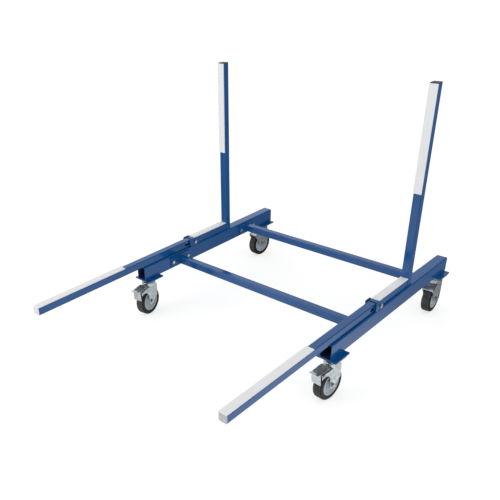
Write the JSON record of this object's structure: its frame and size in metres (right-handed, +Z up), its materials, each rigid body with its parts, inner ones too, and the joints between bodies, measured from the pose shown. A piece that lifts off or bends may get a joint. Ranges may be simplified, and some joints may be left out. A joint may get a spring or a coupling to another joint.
{
  "type": "panel flip trolley",
  "caption": "Wheeled steel trolley whose two arms flip up from level, turning a panel laid on them to stand against two posts.",
  "frame": {"origin": "on the floor, under the middle of the trolley's box", "axes": "+X from the left rail to the right rail, +Y to the rear, away from the arms' tips, +Z up"},
  "size_m": [1.312, 1.8249, 1.268],
  "materials": {
    "blue_paint": "satin powder coat with a fine orange peel",
    "white_strip": "matte white polyethylene",
    "white_cap": "matte white moulded cap",
    "dark_cap": "matte dark grey moulded cap",
    "zinc_steel": "bright zinc plating, slightly cloudy",
    "rim_plastic": "light grey moulded plastic",
    "tyre_rubber": "dark solid rubber with fine rings"
  },
  "bodies": {
    "frame": {"left_rail": "blue_paint", "right_rail": "blue_paint", "front_crossbar": "blue_paint", "rear_crossbar": "blue_paint", "crossbar_flanges": "blue_paint", "crossbar_bolts": "zinc_steel", "left_post": "blue_paint", "left_post_cap": "dark_cap", "left_post_strip": "white_strip", "left_seat_tube": "blue_paint", "left_seat_strip": "white_strip", "left_hinge_bolt": "zinc_steel", "right_post": "blue_paint", "right_post_cap": "dark_cap", "right_post_strip": "white_strip", "right_seat_tube": "blue_paint", "right_seat_strip": "white_strip", "right_hinge_bolt": "zinc_steel", "hinge_bushes": "blue_paint", "hinge_washers": "zinc_steel", "front_left_mount_plate": "blue_paint", "front_left_top_plate": "zinc_steel", "front_right_mount_plate": "blue_paint", "front_right_top_plate": "zinc_steel", "rear_left_mount_plate": "blue_paint", "rear_left_top_plate": "zinc_steel", "rear_right_mount_plate": "blue_paint", "rear_right_top_plate": "zinc_steel", "caster_plate_bolts": "zinc_steel", "swivel_pins": "zinc_steel", "swivel_ball_rings": "zinc_steel"},
    "left_arm": {"left_arm_tube": "blue_paint", "left_arm_cap": "white_cap", "left_arm_strip": "white_strip", "left_arm_cheeks": "blue_paint"},
    "right_arm": {"right_arm_tube": "blue_paint", "right_arm_cap": "white_cap", "right_arm_strip": "white_strip", "right_arm_cheeks": "blue_paint"},
    "front_left_swivel": {"front_left_fork": "zinc_steel", "front_left_axle": "zinc_steel", "front_left_brake_pin": "zinc_steel"},
    "front_left_wheel": {"front_left_rim": "rim_plastic", "front_left_tyre": "tyre_rubber"},
    "front_left_brake": {"front_left_brake_pedal": "zinc_steel"},
    "front_right_swivel": {"front_right_fork": "zinc_steel", "front_right_axle": "zinc_steel", "front_right_brake_pin": "zinc_steel"},
    "front_right_wheel": {"front_right_rim": "rim_plastic", "front_right_tyre": "tyre_rubber"},
    "front_right_brake": {"front_right_brake_pedal": "zinc_steel"},
    "rear_left_swivel": {"rear_left_fork": "zinc_steel", "rear_left_axle": "zinc_steel"},
    "rear_left_wheel": {"rear_left_rim": "rim_plastic", "rear_left_tyre": "tyre_rubber"},
    "rear_right_swivel": {"rear_right_fork": "zinc_steel", "rear_right_axle": "zinc_steel"},
    "rear_right_wheel": {"rear_right_rim": "rim_plastic", "rear_right_tyre": "tyre_rubber"}
  },
  "joints": [
    {"name": "left_arm_flip", "type": "hinge", "parent": "frame", "child": "left_arm", "pos_m": [-0.6, 0.177, 0.322], "axis": [-1, 0, 0], "range_deg": [0, 90]},
    {"name": "right_arm_flip", "type": "hinge", "parent": "frame", "child": "right_arm", "pos_m": [0.6, 0.177, 0.322], "axis": [-1, 0, 0], "range_deg": [0, 90]},
    {"name": "front_left_swivel_turn", "type": "hinge", "parent": "frame", "child": "front_left_swivel", "pos_m": [-0.605, -0.179, 0.173], "axis": [0, 0, 1], "continuous": true},
    {"name": "front_left_wheel_spin", "type": "hinge", "parent": "front_left_swivel", "child": "front_left_wheel", "pos_m": [-0.60118, -0.20067, 0.08], "axis": [0.9848, 0.1736, 0], "continuous": true},
    {"name": "front_left_brake_press", "type": "hinge", "parent": "front_left_swivel", "child": "front_left_brake", "pos_m": [-0.58902, -0.2696, 0.163], "axis": [0.9848, 0.1736, 0], "range_deg": [0, 14]},
    {"name": "front_right_swivel_turn", "type": "hinge", "parent": "frame", "child": "front_right_swivel", "pos_m": [0.605, -0.179, 0.173], "axis": [0, 0, 1], "continuous": true},
    {"name": "front_right_wheel_spin", "type": "hinge", "parent": "front_right_swivel", "child": "front_right_wheel", "pos_m": [0.60347, -0.20095, 0.08], "axis": [0.9976, -0.0698, 0], "continuous": true},
    {"name": "front_right_brake_press", "type": "hinge", "parent": "front_right_swivel", "child": "front_right_brake", "pos_m": [0.59858, -0.27078, 0.163], "axis": [0.9976, -0.0698, 0], "range_deg": [0, 14]},
    {"name": "rear_left_swivel_turn", "type": "hinge", "parent": "frame", "child": "rear_left_swivel", "pos_m": [-0.605, 0.857, 0.173], "axis": [0, 0, 1], "continuous": true},
    {"name": "rear_left_wheel_spin", "type": "hinge", "parent": "rear_left_swivel", "child": "rear_left_wheel", "pos_m": [-0.60654, 0.83505, 0.08], "axis": [0.9976, -0.0698, 0], "continuous": true},
    {"name": "rear_right_swivel_turn", "type": "hinge", "parent": "frame", "child": "rear_right_swivel", "pos_m": [0.605, 0.857, 0.173], "axis": [0, 0, 1], "continuous": true},
    {"name": "rear_right_wheel_spin", "type": "hinge", "parent": "rear_right_swivel", "child": "rear_right_wheel", "pos_m": [0.60615, 0.83503, 0.08], "axis": [0.9986, 0.0523, 0], "continuous": true}
  ]
}
